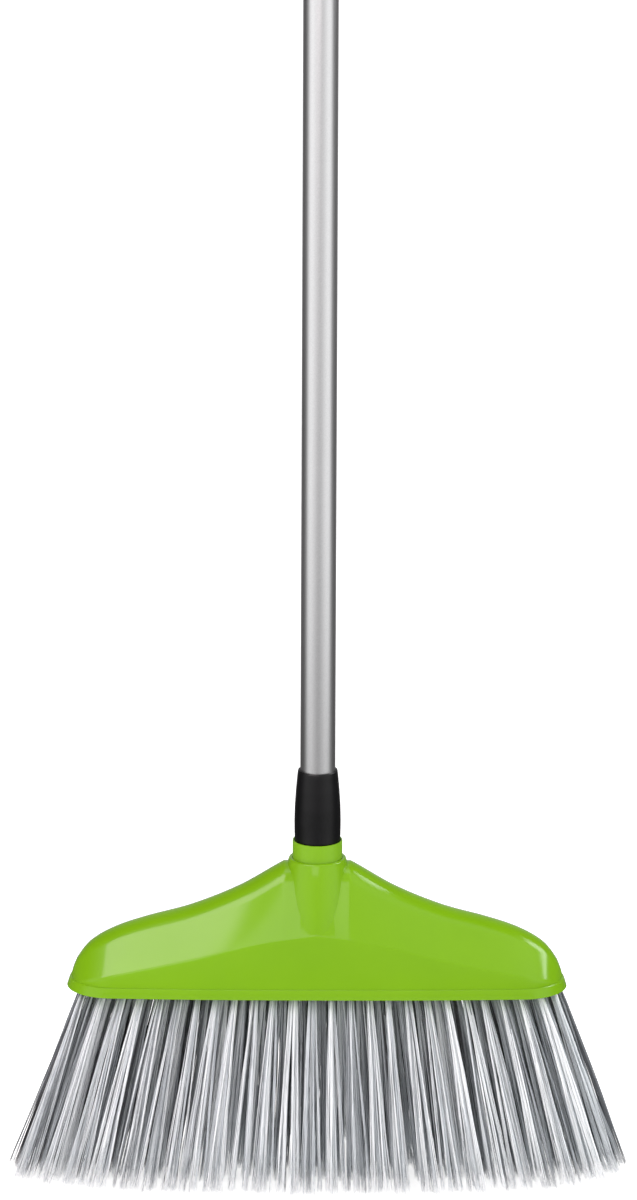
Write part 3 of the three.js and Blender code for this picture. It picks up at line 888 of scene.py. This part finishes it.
def melted(obj, cell, passes):
    """Rounds every edge: the mesh is rebuilt in fine cells and smoothed."""
    remesh = obj.modifiers.new("cells", "REMESH")
    remesh.mode = "VOXEL"
    remesh.voxel_size = cell * MM
    smooth = obj.modifiers.new("smooth", "SMOOTH")
    smooth.factor = 0.5
    smooth.iterations = passes
    graph = bpy.context.evaluated_depsgraph_get()
    mesh = bpy.data.meshes.new_from_object(obj.evaluated_get(graph))
    obj.modifiers.clear()
    obj.data = mesh


def cheek_cutter(side, shoulder):
    """A block with a slanted foot, so that the flat of the eye runs out of the round skirt in a slope."""
    near, far = EYE_HALF_THICKNESS * side, 20 * side
    low, top = shoulder - 1, CAP_TOP_Z + 5
    outline = [(near, shoulder + 9), (near + 8 * side, low), (far, low), (far, top), (near, top)]
    rings = [[(x, y, z) for y, z in outline] for x in (-20, 20)]
    return piece("cutter", *loft(rings), BLACK, "handle")


def hole_cutter(sides=40):
    """A rod through the cap's eye, along Y."""
    centre = CAP_TOP_Z - HOLE_DROP
    hole = circle(HOLE_RADIUS, 0, sides)
    rings = [[(x, y, centre + up) for x, up, _ in hole] for y in (-12, 12)]
    return piece("cutter", *loft(rings), BLACK, "handle")


# ---------------------------------------------------------------- studio, in metres and degrees

# The surround's brightness from the front (0) round to the back (180), the same on both sides.
SURROUND = ((0, 0.46), (12, 0.57), (28, 0.78), (48, 1.0), (72, 1.02), (84, 0.4), (98, 0.12),
            (135, 0.06), (155, 0.26), (180, 0.6))
SURROUND_STRENGTH = 1.1
WHITE = (1, 1, 1, 1)
FLOOR_REACH = 30.0
SHADE_REACHES = (0.54, 0.9)
SHADE_Z = 0.001
BACKDROP_RADIUS = 45.0
BACKDROP_HIDDEN = ("diffuse", "glossy", "transmission", "shadow", "volume_scatter")
SHADE_HIDDEN = ("camera", "diffuse", "transmission", "shadow", "volume_scatter")

CAMERA_LENS = 400
CAMERA_SENSOR = 36
CAMERA_TURN = -0.3
CAMERA_ELEVATION = 17.0
CAMERA_ROLL = 0.24
CAMERA_TARGET = (0.0, 0, 0.3752)
FRAME_HEIGHT = 0.748


def studio_object(name, mesh, hidden_from, base, glow, roughness):
    """A part of the studio in a plain glowing material, hidden from the given kinds of rays."""
    obj = add_object(name, mesh)
    material, _, _ = new_material(name, Roughness=roughness, Base_Color=(base, base, base, 1),
                                  Emission_Color=WHITE, Emission_Strength=glow)
    mesh.materials.append(material)
    for rays in hidden_from:
        setattr(obj, "visible_" + rays, False)
    return obj


def make_floor():
    mesh = bpy.data.meshes.new("floor")
    reach = FLOOR_REACH
    corners = [(-reach, -reach, 0), (reach, -reach, 0), (reach, reach, 0), (-reach, reach, 0)]
    mesh.from_pydata(corners, [], [(0, 1, 2, 3)])
    floor = studio_object("floor", mesh, ("glossy",), base=0.7, glow=0.72, roughness=0.9)


def make_floor_shade():
    """A dark ring on the floor, seen only in reflections: it shades the tube's foot and the ferrule."""
    verts, faces = loft([circle(reach, SHADE_Z, 96) for reach in SHADE_REACHES], close_ends=False)
    mesh = bpy.data.meshes.new("floor_shade")
    mesh.from_pydata(verts, [], faces)
    shade = studio_object("floor_shade", mesh, SHADE_HIDDEN, base=0.0, glow=0.02, roughness=1.0)


def make_shell():
    """A white dome that only the camera sees, behind the floor's far edge."""
    bm = bmesh.new()
    bmesh.ops.create_uvsphere(bm, u_segments=48, v_segments=24, radius=BACKDROP_RADIUS)
    mesh = bpy.data.meshes.new("backdrop")
    bm.to_mesh(mesh)
    bm.free()
    shell = studio_object("backdrop", mesh, BACKDROP_HIDDEN, base=0.0, glow=1.0, roughness=1.0)


def add_math(tree, operation, *values):
    """A maths node whose inputs are other nodes' outputs or numbers."""
    node = tree.nodes.new("ShaderNodeMath")
    node.operation = operation
    for socket, value in zip(node.inputs, values):
        if isinstance(value, bpy.types.NodeSocket):
            tree.links.new(value, socket)
        else:
            socket.default_value = value
    return node.outputs[0]


def make_world():
    """A soft surround: brightest to the camera's left and right, dimmer behind it, then dark."""
    world = bpy.data.worlds.new("studio")
    world.use_nodes = True
    tree = world.node_tree
    background = tree.nodes["Background"]
    place = tree.nodes.new("ShaderNodeTexCoord")
    split = tree.nodes.new("ShaderNodeSeparateXYZ")
    tree.links.new(place.outputs["Generated"], split.inputs["Vector"])
    side = add_math(tree, "ABSOLUTE", split.outputs["X"])
    ahead = add_math(tree, "MULTIPLY", split.outputs["Y"], -1)
    turn = add_math(tree, "ARCTAN2", side, ahead)
    share = add_math(tree, "DIVIDE", turn, math.pi)
    stops = [(degrees / 180, (v, v, v, 1)) for degrees, v in SURROUND]
    tree.links.new(add_ramp(tree, share, *stops), background.inputs["Color"])
    background.inputs["Strength"].default_value = SURROUND_STRENGTH
    SCENE.world = world


def direction(azimuth, elevation):
    """A unit vector away from the object: azimuth 0 is in front, positive to the right."""
    turn, rise = math.radians(azimuth), math.radians(elevation)
    return Vector((math.sin(turn) * math.cos(rise), -math.cos(turn) * math.cos(rise), math.sin(rise)))


def point_at(obj, target, away, distance, roll):
    """Puts a light or a camera at a distance from its target, facing it, rolled about its own axis."""
    obj.location = Vector(target) + away * distance
    obj.rotation_mode = "QUATERNION"
    tilt = Matrix.Rotation(math.radians(roll), 3, "Z").to_quaternion()
    obj.rotation_quaternion = (-away).to_track_quat("-Z", "Y") @ tilt


def add_softbox(name, away, distance, size, radiance, aim=(0, 0, 0.3), tint=(1, 1, 1), roll=0):
    """A soft light of a (width, height). Radiance sets how bright it looks in a reflection."""
    light = bpy.data.lights.new(name, "AREA")
    light.shape = "RECTANGLE"
    light.size, light.size_y = size
    light.energy = radiance * math.pi * size[0] * size[1]
    light.color = tint
    obj = add_object(name, light)
    point_at(obj, aim, away, distance, roll)
    obj.visible_camera = False


def make_lights():
    add_softbox("upper_left", direction(-41, 50), 1.5, (0.85, 0.8), 5.4,
                aim=(-0.09, 0, 0.15), tint=(1.0, 0.87, 0.88), roll=20)
    add_softbox("upper_middle", direction(-8, 26), 1.5, (0.65, 0.6), 2.2,
                aim=(0, 0, 0.17), tint=(1.0, 0.92, 0.93))
    add_softbox("right_shoulder", direction(101, 37), 2.4, (0.85, 1.25), 8.5, aim=(0.14, 0, 0.15))
    add_softbox("top", direction(0, 88), 1.9, (1.2, 0.8), 1.7)


def make_camera():
    data = bpy.data.cameras.new("camera")
    data.lens = CAMERA_LENS
    data.sensor_width = CAMERA_SENSOR
    data.clip_end = 200
    camera = add_object("camera", data)
    distance = FRAME_HEIGHT * data.lens / data.sensor_width
    point_at(camera, CAMERA_TARGET, direction(CAMERA_TURN, CAMERA_ELEVATION), distance, CAMERA_ROLL)
    SCENE.camera = camera


make_camera()
make_head_cover()
make_neck()
make_plate()
make_bristles()
make_ferrule()
make_tube()
make_adapter()
make_cap()
make_floor()
make_floor_shade()
make_shell()
make_world()
make_lights()
SCENE.view_settings.view_transform = "Standard"
